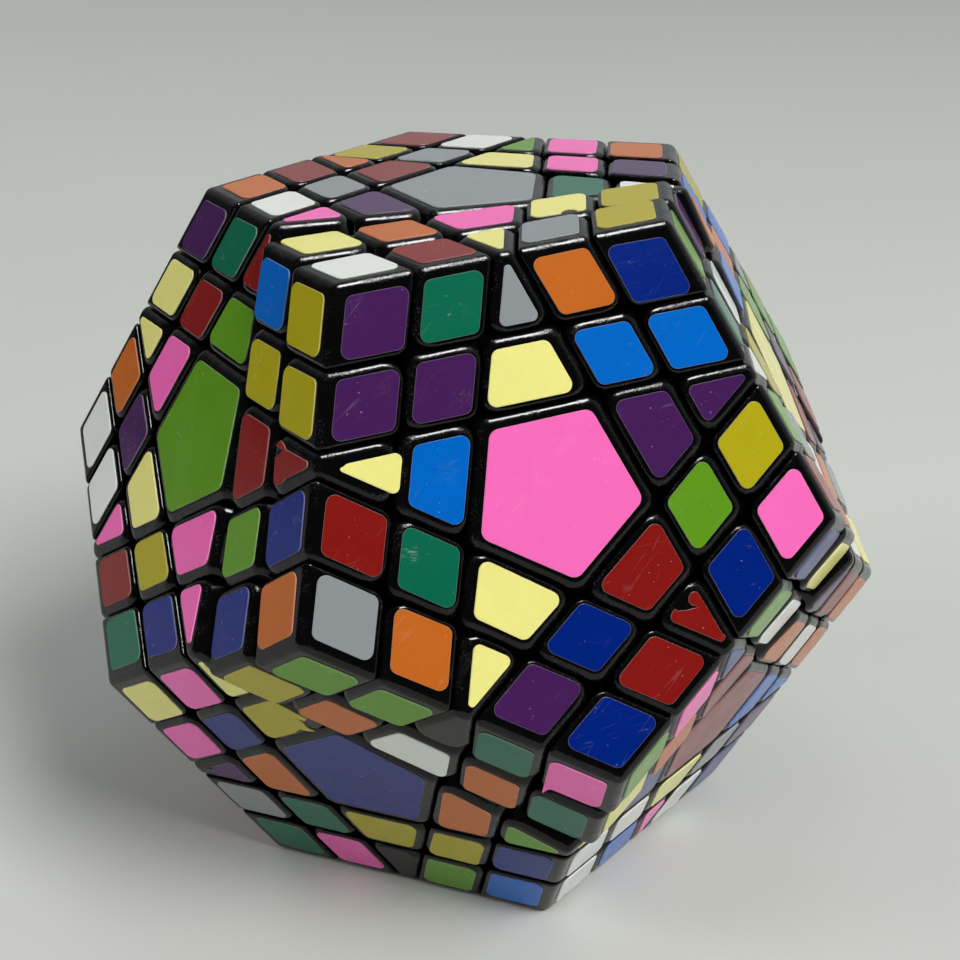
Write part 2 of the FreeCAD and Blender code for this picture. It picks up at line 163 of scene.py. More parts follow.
class Shading:
    """A Principled material and short ways to add nodes to it."""

    def __init__(self, name):
        self.material = bpy.data.materials.new(name)
        self.material.use_nodes = True
        self.tree = self.material.node_tree
        self.shader = self.tree.nodes["Principled BSDF"]
        self.place = self.node("ShaderNodeTexCoord").outputs["Object"]

    def node(self, kind, **settings):
        made = self.tree.nodes.new(kind)
        for key, value in settings.items():
            setattr(made, key, value)
        return made

    def link(self, source, target):
        self.tree.links.new(source, target)

    def mapped(self, stretch, turn=(0, 0, 0)):
        """The place turned, and then scaled along the turned axes."""
        mapping = self.node("ShaderNodeMapping", vector_type="TEXTURE")
        mapping.inputs["Scale"].default_value = tuple(1 / value for value in stretch)
        mapping.inputs["Rotation"].default_value = turn
        self.link(self.place, mapping.inputs["Vector"])
        return mapping.outputs["Vector"]

    def noise(self, per_mm, detail=3.0, turn=(0, 0, 0), stretch=(1, 1, 1), distortion=0.0):
        """Noise with about per_mm features on each millimetre, 0.5 in the middle."""
        noise = self.node("ShaderNodeTexNoise")
        noise.inputs["Scale"].default_value = per_mm / MM
        noise.inputs["Detail"].default_value = detail
        noise.inputs["Distortion"].default_value = distortion
        self.link(self.mapped(stretch, turn), noise.inputs["Vector"])
        return noise.outputs["Fac"]

    def remap(self, value, low, high, to_low=0.0, to_high=1.0):
        """The value moved from one range to another, and held inside it."""
        node = self.node("ShaderNodeMapRange")
        node.inputs["From Min"].default_value = low
        node.inputs["From Max"].default_value = high
        node.inputs["To Min"].default_value = to_low
        node.inputs["To Max"].default_value = to_high
        self.link(value, node.inputs["Value"])
        return node.outputs["Result"]

    def math(self, operation, first, second):
        """The result between 0 and 1 of an operation on numbers or sockets."""
        node = self.node("ShaderNodeMath", operation=operation, use_clamp=True)
        for socket, value in zip(node.inputs, (first, second)):
            if isinstance(value, (int, float)):
                socket.default_value = value
            else:
                self.link(value, socket)
        return node.outputs["Value"]

    def mix(self, factor, first, second):
        """Colour between two, each a colour or a socket."""
        node = self.node("ShaderNodeMix", data_type="RGBA")
        self.link(factor, node.inputs[0])
        for socket, value in zip((node.inputs[6], node.inputs[7]), (first, second)):
            if isinstance(value, tuple):
                socket.default_value = (*value, 1)
            else:
                self.link(value, socket)
        return node.outputs[2]

    def hairlines(self, per_mm, width, turn, stretch):
        """Thin, nearly straight lines: level lines of stretched noise, 1 on a line, 0 elsewhere."""
        level = self.noise(per_mm, 0.0, turn, stretch, distortion=0.12)
        signed = self.math("SUBTRACT", level, 0.5)
        signed.node.use_clamp = False
        return self.remap(self.math("ABSOLUTE", signed, 0), width, 0.0)

    def scuff_at(self, place):
        """A chalky smear about 2 mm long, made of fine streaks that are nearly level."""
        away = self.node("ShaderNodeVectorMath", operation="DISTANCE")
        away.inputs[1].default_value = place
        self.link(self.place, away.inputs[0])
        near = self.remap(away.outputs["Value"], 1.6 * MM, 0.3 * MM)
        streaks = self.remap(self.noise(5.0, 2, (0, 0.2, 0), (0.12, 1, 1)), 0.54, 0.64)
        return self.math("MULTIPLY", self.math("MULTIPLY", near, streaks), 0.75)

    def attribute(self, name):
        """A value that the mesh carries at its vertices."""
        return self.node("ShaderNodeAttribute", attribute_name=name).outputs["Fac"]

    def bump(self, height, strength, distance):
        """Fine relief from a height socket."""
        node = self.node("ShaderNodeBump")
        node.inputs["Strength"].default_value = strength
        node.inputs["Distance"].default_value = distance
        self.link(height, node.inputs["Height"])
        self.link(node.outputs["Normal"], self.shader.inputs["Normal"])

    def set(self, **values):
        """Constants straight on the shader's own sockets, named with _ for each space."""
        for key, value in values.items():
            self.shader.inputs[key.replace("_", " ")].default_value = value

    def scratches(self, cover):
        """Short fine scratches in three directions. cover: a mask socket of where they may be."""
        lines = []
        for number, turn in enumerate([(0.3, 0.9, 0.4), (1.1, 0.2, 1.9), (0.6, 1.7, 2.7)]):
            line = self.hairlines(0.5 + 0.2 * number, 0.010, turn, (1.0, 0.05, 0.05))
            broken = self.remap(self.noise(0.3, 2.0, turn), 0.50, 0.66)
            lines.append(self.math("MULTIPLY", line, broken))
        every = self.math("MAXIMUM", self.math("MAXIMUM", lines[0], lines[1]), lines[2])
        return self.math("MULTIPLY", every, cover)


def srgb(red, green, blue):
    """Linear colour of an 8-bit display colour."""
    linear = []
    for value in (red, green, blue):
        share = value / 255
        linear.append(share / 12.92 if share <= 0.04045 else ((share + 0.055) / 1.055) ** 2.4)
    return tuple(linear)


BLACK = srgb(5, 5, 6)
WORN_BLACK = srgb(170, 172, 170)
GLOSSY_IOR = 1.38            # of the black plastic and the vinyl
SATIN_IOR = 1.5


def black_plastic():
    """Glossy black plastic with rubbed and nicked edges, a little dust and fine scratches."""
    s = Shading("black_plastic")
    edge = s.attribute("edge_wear")
    nicks = s.remap(s.noise(3.2, 3, (0.5, 0.1, 0.2)), 0.56, 0.66)
    rubbed = s.math("MULTIPLY", edge, s.remap(s.noise(0.35, 3), 0.45, 0.65))
    worn_edge = s.math("MULTIPLY", rubbed, nicks)
    scratch = s.scratches(s.remap(s.noise(0.11, 3), 0.5, 0.62))
    dusty = s.remap(s.noise(0.35, 2), 0.5, 0.7)
    dust = s.math("MULTIPLY", s.remap(s.noise(3.1, 2), 0.70, 0.76), dusty)
    pale = s.math("MAXIMUM", s.math("MULTIPLY", worn_edge, 0.08), s.math("MULTIPLY", scratch, 0.03))
    pale = s.math("MAXIMUM", pale, s.math("MULTIPLY", dust, 0.04))
    s.link(s.mix(pale, BLACK, WORN_BLACK), s.shader.inputs["Base Color"])
    rough = s.remap(s.noise(0.25, 4), 0.3, 0.7, 0.12, 0.20)
    rough = s.math("ADD", rough, s.math("MULTIPLY", rubbed, 0.08))
    s.link(s.math("ADD", rough, s.math("MULTIPLY", scratch, 0.12)), s.shader.inputs["Roughness"])
    s.set(IOR=GLOSSY_IOR)
    grain = s.math("MULTIPLY", s.noise(3.4, 3), s.math("ADD", s.math("MULTIPLY", rubbed, 0.8), 0.10))
    waves = s.math("MULTIPLY", s.noise(0.5, 3), 0.25)
    s.bump(s.math("ADD", waves, grain), 0.7, 0.10 * MM)
    return s.material


def moulded_plastic(name, colour, roughness):
    """Satin plastic of the hidden pieces, with flow marks and a fine grain."""
    s = Shading(name)
    flow = s.noise(0.08, 4, (0.2, 0.5, 0.1), (1, 1, 0.3), 1.5)
    grain = s.noise(4.0, 2)
    darker = tuple(0.75 * value for value in colour)
    s.link(s.mix(s.remap(flow, 0.35, 0.65), darker, colour), s.shader.inputs["Base Color"])
    s.link(s.remap(flow, 0.3, 0.7, roughness - 0.06, roughness + 0.08), s.shader.inputs["Roughness"])
    s.set(IOR=SATIN_IOR)
    s.bump(grain, 0.3, 0.03 * MM)
    return s.material


def metal(name, colour, roughness, stretch):
    """Plated or drawn steel, with fine tool lines along one way and darker spots."""
    s = Shading(name)
    lines = s.noise(6.0, 3, (0, 0, 0), stretch)
    spots = s.remap(s.noise(0.9, 3), 0.55, 0.75)
    darker = tuple(0.45 * value for value in colour)
    s.link(s.mix(spots, colour, darker), s.shader.inputs["Base Color"])
    s.link(s.remap(lines, 0.3, 0.7, roughness - 0.08, roughness + 0.1), s.shader.inputs["Roughness"])
    s.set(Metallic=1.0)
    s.bump(lines, 0.2, 0.02 * MM)
    return s.material


def vinyl(name, colour, scuff_place=None):
    """Semi-gloss vinyl film: grain, mottling, hairline scratches, scuffs, flecks, painted highlight
    on the cut edge.
    """
    s = Shading("vinyl_" + name)
    pale = tuple(value + (0.75 - value) * 0.45 for value in colour)
    deep = tuple(0.93 * value for value in colour)
    clouds = s.math("MULTIPLY", s.noise(0.2, 2), 0.3)
    mottle = s.math("ADD", clouds, s.math("MULTIPLY", s.noise(7.0, 2), 0.7))
    ground = s.mix(s.remap(mottle, 0.38, 0.62), deep, colour)
    scratch = s.math("MULTIPLY", s.scratches(s.remap(s.noise(0.10, 2), 0.44, 0.60)), 0.20)
    scuffed = s.remap(s.noise(0.13, 1, (0.4, 0.2, 0.8)), 0.68, 0.76)
    broken = s.remap(s.noise(2.6, 4, stretch=(1, 0.3, 1)), 0.47, 0.66)
    scuff = s.math("MULTIPLY", scuffed, broken)
    flecks = s.math("MULTIPLY", s.remap(s.noise(1.7, 1), 0.76, 0.79), 0.4)
    wear_and_edge_highlight = s.math("MAXIMUM", s.math("MAXIMUM", scratch, s.math("MULTIPLY", scuff, 0.07)), flecks)
    if scuff_place:
        wear_and_edge_highlight = s.math("MAXIMUM", wear_and_edge_highlight, s.scuff_at(scuff_place))
    # Painted highlight: the cut edge is painted paler all round, standing in for the sticker edges
    # catching the light.
    wear_and_edge_highlight = s.math("MAXIMUM", wear_and_edge_highlight, s.math("MULTIPLY", s.attribute("cut_edge"), 0.55))
    s.link(s.mix(wear_and_edge_highlight, ground, pale), s.shader.inputs["Base Color"])
    rough = s.remap(s.noise(0.2, 3), 0.3, 0.7, 0.15, 0.23)
    s.link(s.math("ADD", rough, s.math("MULTIPLY", wear_and_edge_highlight, 0.3)), s.shader.inputs["Roughness"])
    s.set(IOR=GLOSSY_IOR)
    grain = s.math("MULTIPLY", s.noise(7.0, 2), 0.25)
    s.bump(s.math("ADD", grain, s.noise(0.3, 2)), 0.15, 0.02 * MM)
    return s.material


VINYL_COLOURS = {
    "W": ("white", srgb(236, 240, 236)),
    "K": ("grey", srgb(145, 152, 156)),
    "C": ("cream", srgb(244, 240, 144)),
    "Y": ("yellow", srgb(182, 171, 24)),
    "O": ("orange", srgb(200, 106, 34)),
    "R": ("red", srgb(135, 24, 20)),
    "P": ("pink", srgb(255, 112, 196)),
    "V": ("purple", srgb(70, 30, 90)),
    "B": ("dark_blue", srgb(0, 34, 128)),
    "A": ("light_blue", srgb(0, 104, 204)),
    "G": ("light_green", srgb(98, 154, 30)),
    "D": ("dark_green", srgb(10, 106, 80)),
}

MATERIALS = {
    "black_plastic": black_plastic(),
    "inner_plastic": moulded_plastic("inner_plastic", srgb(34, 34, 36), 0.42),
    "core_plastic": moulded_plastic("core_plastic", srgb(58, 58, 62), 0.5),
    "zinc_plated_steel": metal("zinc_plated_steel", srgb(196, 198, 204), 0.3, (1, 1, 8)),
    "spring_steel": metal("spring_steel", srgb(160, 160, 166), 0.34, (8, 1, 1)),
}

# A pale smear on one dark green x-centre of the front face.
SCUFFED_SIDES = ("lower_front_left", "upper_left")
SCUFF_SHIFT = Vector((-2.1, 2.2 * COS_FACE, 2.2 * SIN_FACE)) * MM


def scuff_place():
    """Where that smear is, on the front face's outer layer."""
    normal = NORMALS["front"]
    sides = [(NORMALS[side] - normal * COS_FACE).normalized() for side in SCUFFED_SIDES]
    middle = (sides[0] + sides[1]) * 0.5 * (OUTER_LINE + SECOND_LINE) / (1 + sides[0].dot(sides[1]))
    return rest_matrix("front_outer_layer") @ (normal * FACE_DISTANCE + middle + SCUFF_SHIFT)


VINYL = {}
for letter, (name, colour) in VINYL_COLOURS.items():
    VINYL[letter] = vinyl(name, colour, scuff_place() if name == "dark_green" else None)

# ---------------------------------------------------------------- plastic pieces

UPRIGHT_ROUND = 2.2 * MM     # corners of a piece, seen from outside
RIM_ROUND = 0.95 * MM        # edges around its outer faces
ROUND_STEPS = 4
ON_PLANE = 0.004 * MM        # how near a vertex on a face of the dodecahedron is to it
SAME_POINT = 0.001 * MM
FLAT_ANGLE = math.radians(0.5)
SHARP_ANGLE = math.radians(35)
WEAR_START = 0.04 * MM       # how deep below a flat the rubbed edge begins


def outer_planes(vertex):
    """Names of the dodecahedron's faces that a vertex lies on."""
    depths = {name: FACE_DISTANCE - normal.dot(vertex.co) for name, normal in NORMALS.items()}
    return {name for name, depth in depths.items() if abs(depth) < ON_PLANE}


def bevel(mesh, edges, width):
    bmesh.ops.bevel(mesh, geom=edges, offset=width, offset_type="OFFSET", segments=ROUND_STEPS,
                    profile=0.5, affect="EDGES", clamp_overlap=False)


def round_uprights(mesh):
    """Round the corners of the pieces, all to one radius whatever their angles."""
    outside = {vertex: outer_planes(vertex) for vertex in mesh.verts}
    by_reach = {}
    for edge in mesh.edges:
        first, second = (outside[vertex] for vertex in edge.verts)
        if bool(first) != bool(second):
            reach = UPRIGHT_ROUND * math.tan(edge.calc_face_angle(0.0) / 2)
            by_reach.setdefault(round(reach, 4), []).append(edge)
    for reach, uprights in by_reach.items():
        bevel(mesh, uprights, reach)


def mark_edges(mesh):
    """Writes how much each vertex of the outer rims is rubbed: 1 on the round, 0 on the flats."""
    wear = mesh.verts.layers.float.new("edge_wear")
    for vertex in mesh.verts:
        depth = min(abs(FACE_DISTANCE - normal.dot(vertex.co)) for normal in NORMALS.values())
        rising = min(1.0, depth / WEAR_START)
        falling = max(0.0, min(1.0, (RIM_ROUND - depth) / (0.5 * RIM_ROUND)))
        vertex[wear] = rising * falling


def rounded_pieces(node):
    """Replace a node with a copy whose pieces have round edges outside, as moulded ones have."""
    source = frame["nodes"][node]
    body = source["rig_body"]
    mesh = bmesh.new()
    mesh.from_mesh(source.data)
    mesh.transform(rest_matrix(body).inverted())
    bmesh.ops.remove_doubles(mesh, verts=mesh.verts, dist=SAME_POINT)
    bmesh.ops.dissolve_limit(mesh, angle_limit=FLAT_ANGLE, verts=mesh.verts, edges=mesh.edges)
    round_uprights(mesh)
    outside = {vertex: outer_planes(vertex) for vertex in mesh.verts}
    rims = [edge for edge in mesh.edges if outside[edge.verts[0]] & outside[edge.verts[1]]]
    bevel(mesh, rims, RIM_ROUND)
    bmesh.ops.recalc_face_normals(mesh, faces=mesh.faces)
    mark_edges(mesh)
    mesh.transform(rest_matrix(body))
    materials = [MATERIALS["black_plastic"]]
    finish_piece(mesh, node + "_moulded", body, materials, [node])


def finish_piece(mesh, name, body, materials, replaced):
    """Turn a bmesh into a smooth-shaded piece on its body."""
    data = bpy.data.meshes.new(name)
    mesh.to_mesh(data)
    mesh.free()
    for material in materials:
        data.materials.append(material)
    data.shade_smooth()
    data.set_sharp_from_angle(angle=SHARP_ANGLE)
    piece = bpy.data.objects.new(name, data)
    bpy.context.scene.collection.objects.link(piece)
    weighted = piece.modifiers.new("weighted_normals", "WEIGHTED_NORMAL")
    weighted.keep_sharp = True
    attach(piece, body)
    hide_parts(*replaced)


SLOT_OF_NODE = {entry["node"]: entry["material_slot"] for entry in frame["record"]["subparts"]}
for node, slot in SLOT_OF_NODE.items():
    if slot == "black_plastic":
        rounded_pieces(node)
    elif slot != "vinyl_stickers":
        materials = frame["nodes"][node].data.materials
        materials.clear()
        materials.append(MATERIALS[slot])

# ---------------------------------------------------------------- colours of the stickers

# One letter of VINYL_COLOURS for each sticker, and - where it is missing. The faces around are in
# order. Middle edges and t-centres: one for each face around. Corners and x-centres: between each
# face around and the next. Wings: a pair for each, beside the face before and the face after.
SEEN = {
    "front": {
        "around": ["top", "upper_right", "lower_front_right", "lower_front_left", "upper_left"],
        "centre": "P", "middle_edge": "KVRCC", "t_centre": "CVRCA",
        "corner": "BPBKV", "x_centre": "AGBDV", "wing": "DO AY BR VO RV",
    },
    "top": {
        "around": ["front", "upper_right", "upper_back_right", "upper_back_left", "upper_left"],
        "centre": "K", "middle_edge": "CWGOP", "t_centre": "PDCRV",
        "corner": "YOROW", "x_centre": "CPKKO", "wing": "RK YV PW YR WC",
    },
    "upper_left": {
        "around": ["front", "top", "upper_back_left", "lower_left", "lower_front_left"],
        "centre": "G", "middle_edge": "RRCPP", "t_centre": "RGPCP",
        "corner": "YVWDO", "x_centre": "YRVYG", "wing": "BY AD CO WR BB",
    },
    "lower_front_left": {
        "around": ["front", "upper_left", "lower_left", "bottom", "lower_front_right"],
        "centre": "B", "middle_edge": "-CV-G", "t_centre": "WYOYO",
        "corner": "GCDAP", "x_centre": "OBDYO", "wing": "DG YP PK PG BD",
    },
    "lower_front_right": {
        "around": ["front", "lower_front_left", "bottom", "lower_right", "upper_right"],
        "centre": "R", "middle_edge": "BCPAV", "t_centre": "RBCAO",
        "corner": "GWBOB", "x_centre": "OWKWW", "wing": "GP CW AW VO RC",
    },
    "upper_right": {
        "around": ["front", "lower_front_right", "lower_right", "upper_back_right", "top"],
        "centre": "C", "middle_edge": "WVVKO", "t_centre": "YWRGA",
        "corner": "RCGYG", "x_centre": "KOVOW", "wing": "DG OW KR GA AV",
    },
}
OF_EACH_COLOUR = 31
SHUFFLE_SEED = 12


def empty_places(face):
    """The keys of a face's 31 sticker places: (face, kind, faces beside it)."""
    keys = [(face, "centre", ())]
    around = ring(face, next(name for name in NORMALS if are_neighbours(face, name)))
    for index, side in enumerate(around):
        after = around[(index + 1) % 5]
        before = around[index - 1]
        keys.append((face, "middle_edge", (side,)))
        keys.append((face, "t_centre", (side,)))
        keys.append((face, "corner", tuple(sorted((side, after)))))
        keys.append((face, "x_centre", tuple(sorted((side, after)))))
        keys.append((face, "wing", (side, before)))
        keys.append((face, "wing", (side, after)))
    return keys


def seen_letters(face, layout):
    """The letter of each sticker place of a face, from its entry in SEEN."""
    letters = {(face, "centre", ()): layout["centre"]}
    around = layout["around"]
    for index, side in enumerate(around):
        after = around[(index + 1) % 5]
        before = around[index - 1]
        pair = tuple(sorted((side, after)))
        beside_before, beside_after = layout["wing"].split()[index]
        letters[(face, "middle_edge", (side,))] = layout["middle_edge"][index]
        letters[(face, "t_centre", (side,))] = layout["t_centre"][index]
        letters[(face, "corner", pair)] = layout["corner"][index]
        letters[(face, "x_centre", pair)] = layout["x_centre"][index]
        letters[(face, "wing", (side, before))] = beside_before
        letters[(face, "wing", (side, after))] = beside_after
    return letters


def all_letters():
    """Every sticker's letter: as seen, and the rest of each colour shuffled over the others."""
    letters = {}
    for face, layout in SEEN.items():
        letters.update(seen_letters(face, layout))
    left = []
    for letter in VINYL_COLOURS:
        used = list(letters.values()).count(letter)
        left.extend(letter * max(0, OF_EACH_COLOUR - used))
    random.Random(SHUFFLE_SEED).shuffle(left)
    for face in NORMALS:
        if face not in SEEN:
            for key in empty_places(face):
                letters[key] = left.pop()
    return letters


# ---------------------------------------------------------------- outlines of the stickers

EDGE_MARGIN = 1.7 * MM           # from an edge of the dodecahedron to the sticker
ARC_STEPS = 6
LONGEST_REACH = 0.48             # of a side, that a rounded corner may take up
OUTSIDE, SECOND, INSIDE = 0, 1, 2

# Which band of each neighbour a sticker lies in, the margin from the cut lines, the radius of its
# corners, and which neighbours name it. Neighbour 0 is along +X, the others counter-clockwise.
STICKER_KINDS = {
    "corner": ({0: OUTSIDE, 1: OUTSIDE}, 1.17 * MM, 1.2 * MM, (0, 1)),
    "wing": ({0: OUTSIDE, 1: SECOND}, 1.17 * MM, 1.2 * MM, (0, 1)),
    "wing_mirrored": ({0: OUTSIDE, 4: SECOND}, 1.17 * MM, 1.2 * MM, (0, 4)),
    "middle_edge": ({0: OUTSIDE, 1: INSIDE, 4: INSIDE}, 1.38 * MM, 0.9 * MM, (0,)),
    "x_centre": ({0: SECOND, 1: SECOND}, 1.17 * MM, 1.2 * MM, (0, 1)),
    "t_centre": ({0: SECOND, 1: INSIDE, 4: INSIDE}, 1.33 * MM, 1.25 * MM, (0,)),
    "centre": ({0: INSIDE, 1: INSIDE, 2: INSIDE, 3: INSIDE, 4: INSIDE}, 1.45 * MM, 1.6 * MM, ()),
}


def clipped(points, outward, limit):
    """A convex outline cut to the points whose distance along outward is at most limit."""
    kept = []
    for index, point in enumerate(points):
        following = points[(index + 1) % len(points)]
        here = point.dot(outward) - limit
        there = following.dot(outward) - limit
        if here <= 0:
            kept.append(point)
        if (here < 0 < there) or (there < 0 < here):
            kept.append(point.lerp(following, here / (here - there)))
    return kept


def rounded_outline(points, radius):
    """The outline with each corner replaced by an arc."""
    made = []
    for index, corner in enumerate(points):
        back = points[index - 1] - corner
        onward = points[(index + 1) % len(points)] - corner
        half = back.angle(onward) / 2
        shortest = min(back.length, onward.length)
        reach = min(radius / math.tan(half), LONGEST_REACH * shortest)
        arc_radius = reach * math.tan(half)
        to_middle = (back.normalized() + onward.normalized()).normalized()
        middle = corner + to_middle * (arc_radius / math.sin(half))
        start = corner + back.normalized() * reach - middle
        sweep = (math.pi - 2 * half) * (1 if start.cross(to_middle) < 0 else -1)
        for step in range(ARC_STEPS + 1):
            turned = Matrix.Rotation(sweep * step / ARC_STEPS, 2) @ start
            made.append(middle + turned)
    return made


def sticker_outline(bands, margin, radius):
    """A large square cut down to the bands that the sticker lies in, with round corners."""
    points = [2 * APOTHEM * Vector(corner) for corner in ((-1, -1), (1, -1), (1, 1), (-1, 1))]
    for index, band in bands.items():
        outward = Vector((math.cos(index * SIDE_STEP), math.sin(index * SIDE_STEP)))
        highest = (APOTHEM - EDGE_MARGIN, OUTER_LINE - margin, SECOND_LINE - margin)[band]
        points = clipped(points, outward, highest)
        if band != INSIDE:
            lowest = (OUTER_LINE, SECOND_LINE)[band] + margin
            points = clipped(points, -outward, -lowest)
    return rounded_outline(points, radius)


def refined(points, spacing):
    """The outline with points added along its long sides."""
    made = []
    for index, point in enumerate(points):
        following = points[(index + 1) % len(points)]
        count = max(1, int((following - point).length / spacing))
        for step in range(count):
            made.append(point.lerp(following, step / count))
    return made


REFINED_STEP = 0.2 * MM
RAGGED_STEP = 0.28 * MM
RAGGED_SPREAD = 0.02 * MM


def torn_outline(points, tears, seed):
    """The outline with stretches of it torn off, and the torn stretches a little ragged.

    Each tear is a line of points in millimetres from the middle, counter-clockwise, that takes the
    place of the outline between its two ends.
    """
    chance = random.Random(seed)
    middle = sum(points, Vector((0, 0))) / len(points)
    for tear in tears:
        line = [middle + Vector(point) * MM for point in tear]
        points = refined(points, REFINED_STEP)
        count = len(points)
        first = min(range(count), key=lambda index: (points[index] - line[0]).length)
        last = min(range(count), key=lambda index: (points[index] - line[-1]).length)
        kept = [points[(last + step) % count] for step in range((first - last) % count + 1)]
        ragged = []
        for start, end in zip(line, line[1:]):
            steps = max(1, round((end - start).length / RAGGED_STEP))
            for step in range(1, steps + 1):
                wander = Vector((chance.gauss(0, RAGGED_SPREAD), chance.gauss(0, RAGGED_SPREAD)))
                ragged.append(start.lerp(end, step / steps) + wander)
        points = kept + ragged[:-1]
    return points


# Torn stickers: the lines of their tears, along the direction of the sticker's own neighbour and
# across it. The widest side of a middle edge's sticker is at -4.1, its tip at 4.1.
TORN = {
    ("front", "middle_edge", ("lower_front_right",)): [
        [(-3.2, 2.75), (-3.7, 2.4), (-3.9, 1.9), (-3.75, 1.25), (-3.3, 0.8), (-2.8, 0.75),
         (-1.8, 1.15), (-2.2, 0.65), (-2.9, -0.3), (-3.95, -1.3)],
        [(4.1, -0.1), (3.7, 0.7), (3.2, 0.55)],
    ],
    ("front", "middle_edge", ("upper_left",)): [
        [(3.1, -0.8), (3.35, -0.35), (3.8, 0.0), (4.1, 0.35)],
    ],
    ("upper_left", "middle_edge", ("front",)): [
        [(-1.95, 2.45), (-2.3, 2.9), (-3.2, 3.5), (-4.1, 3.15), (-4.3, 2.75), (-3.6, 2.45),
         (-2.6, 2.3), (-2.75, 1.8), (-3.5, 1.55), (-4.05, 1.3)],
        [(-4.1, 0.3), (-4.45, 0.1), (-4.1, -0.2)],
        [(-3.6, -2.6), (-1.9, -2.35), (-1.3, -1.75), (0.6, -1.35), (1.9, -0.95), (3.0, -0.75)],
    ],
    ("lower_front_left", "middle_edge", ("upper_left",)): [
        [(-4.1, -1.6), (-3.0, -1.7), (-0.2, -0.75), (1.7, 0.0), (2.3, -0.4), (3.8, -0.4), (3.9, 0.4)],
    ],
    ("lower_front_left", "middle_edge", ("lower_left",)): [
        [(1.2, -1.2), (1.8, -0.3), (2.5, -0.5), (3.3, 0.1), (2.2, 0.4), (1.3, 1.1)],
    ],
    ("lower_front_left", "t_centre", ("upper_left",)): [
        [(-3.95, -0.1), (-3.5, -1.9), (-4.3, -2.9), (-4.75, -4.2), (-3.75, -3.7), (-2.1, -4.1),
         (-1.1, -4.05), (-2.2, -4.7), (-1.8, -5.75)],
    ],
    ("top", "x_centre", ("front", "upper_right")): [
        [(4.05, -0.9), (3.1, -0.5), (2.6, 0.2), (2.7, 0.8), (3.2, 1.3), (4.05, 1.7)],
    ],
}

# A corner that came loose and curls up: the two ends of the fold and the tip, as in TORN.
PEELED = {
    ("lower_front_left", "corner", ("front", "lower_front_right")):
        [(-4.19, -1.35), (-2.95, -3.45), (-4.2, -3.05)],
}
PEEL_LIFT = 1.2 * MM
PEEL_STEPS = 5
PEEL_END = 0.9               # of the way from the fold to the tip

# Stickers put on far from the middle of their piece, in millimetres along the face's X and Y.
MISPLACED = {
    ("front", "t_centre", ("top",)): (-0.1, 0.75),
    ("front", "middle_edge", ("upper_left",)): (-1.55, 0.0),
    ("front", "middle_edge", ("lower_front_left",)): (0.1, 0.43),
    ("lower_front_left", "wing", ("upper_left", "front")): (0.3, 0.1),
}
SHIFT_SPREAD = 0.12 * MM
TILT_SPREAD = math.radians(0.7)
STICKER_RIM = 0.07 * MM


def join_rings(mesh, rings, material_index):
    """Make a closed shell from rings of vertices, each joined to the next."""
    faces = [mesh.faces.new(reversed(rings[0])), mesh.faces.new(rings[-1])]
    for lower, upper in zip(rings, rings[1:]):
        for index in range(len(lower)):
            corners = (lower[index - 1], lower[index], upper[index], upper[index - 1])
            faces.append(mesh.faces.new(corners))
    for face in faces:
        face.material_index = material_index


def add_sticker(mesh, outline, matrix, material_index):
    """A thin plate of vinyl on the face, with a softened upper rim."""
    cut_edge = mesh.verts.layers.float.get("cut_edge") or mesh.verts.layers.float.new("cut_edge")
    rings = []
    levels = [(0, 0), (STICKER_THICKNESS - STICKER_RIM, 0), (STICKER_THICKNESS, STICKER_RIM)]
    for height, inset in levels:
        row = []
        for index, point in enumerate(outline):
            along = outline[(index + 1) % len(outline)] - outline[index - 1]
            inner = point + Vector((-along.y, along.x)).normalized() * inset
            vertex = mesh.verts.new(matrix @ Vector((inner.x, inner.y, FACE_DISTANCE + height)))
            vertex[cut_edge] = 0.0 if inset else 1.0
            row.append(vertex)
        rings.append(row)
    join_rings(mesh, rings, material_index)


def add_peel(mesh, fold, tip, matrix, material_index):
    """The loose corner of a sticker, curling up off the plastic from its fold to its tip."""
    rings = []
    for step in range(PEEL_STEPS + 1):
        share = PEEL_END * step / PEEL_STEPS
        low = FACE_DISTANCE + PEEL_LIFT * share ** 2
        high = low + STICKER_THICKNESS
        first, last = (point.lerp(tip, share) for point in fold)
        places = [(*first, low), (*last, low), (*last, high), (*first, high)]
        rings.append([mesh.verts.new(matrix @ Vector(place)) for place in places])
    join_rings(mesh, rings, material_index)


def sticker_places():
    """(key, kind, face, neighbour) of every sticker."""
    for face in NORMALS:
        neighbours = [name for name in NORMALS if are_neighbours(face, name)]
        yield (face, "centre", ()), "centre", face, neighbours[0]
        for neighbour in neighbours:
            around = ring(face, neighbour)
            for kind, (_, _, _, named_by) in STICKER_KINDS.items():
                if kind == "centre":
                    continue
                beside = tuple(around[index] for index in named_by)
                if kind in ("corner", "x_centre"):
                    beside = tuple(sorted(beside))
                yield (face, kind.replace("_mirrored", ""), beside), kind, face, neighbour


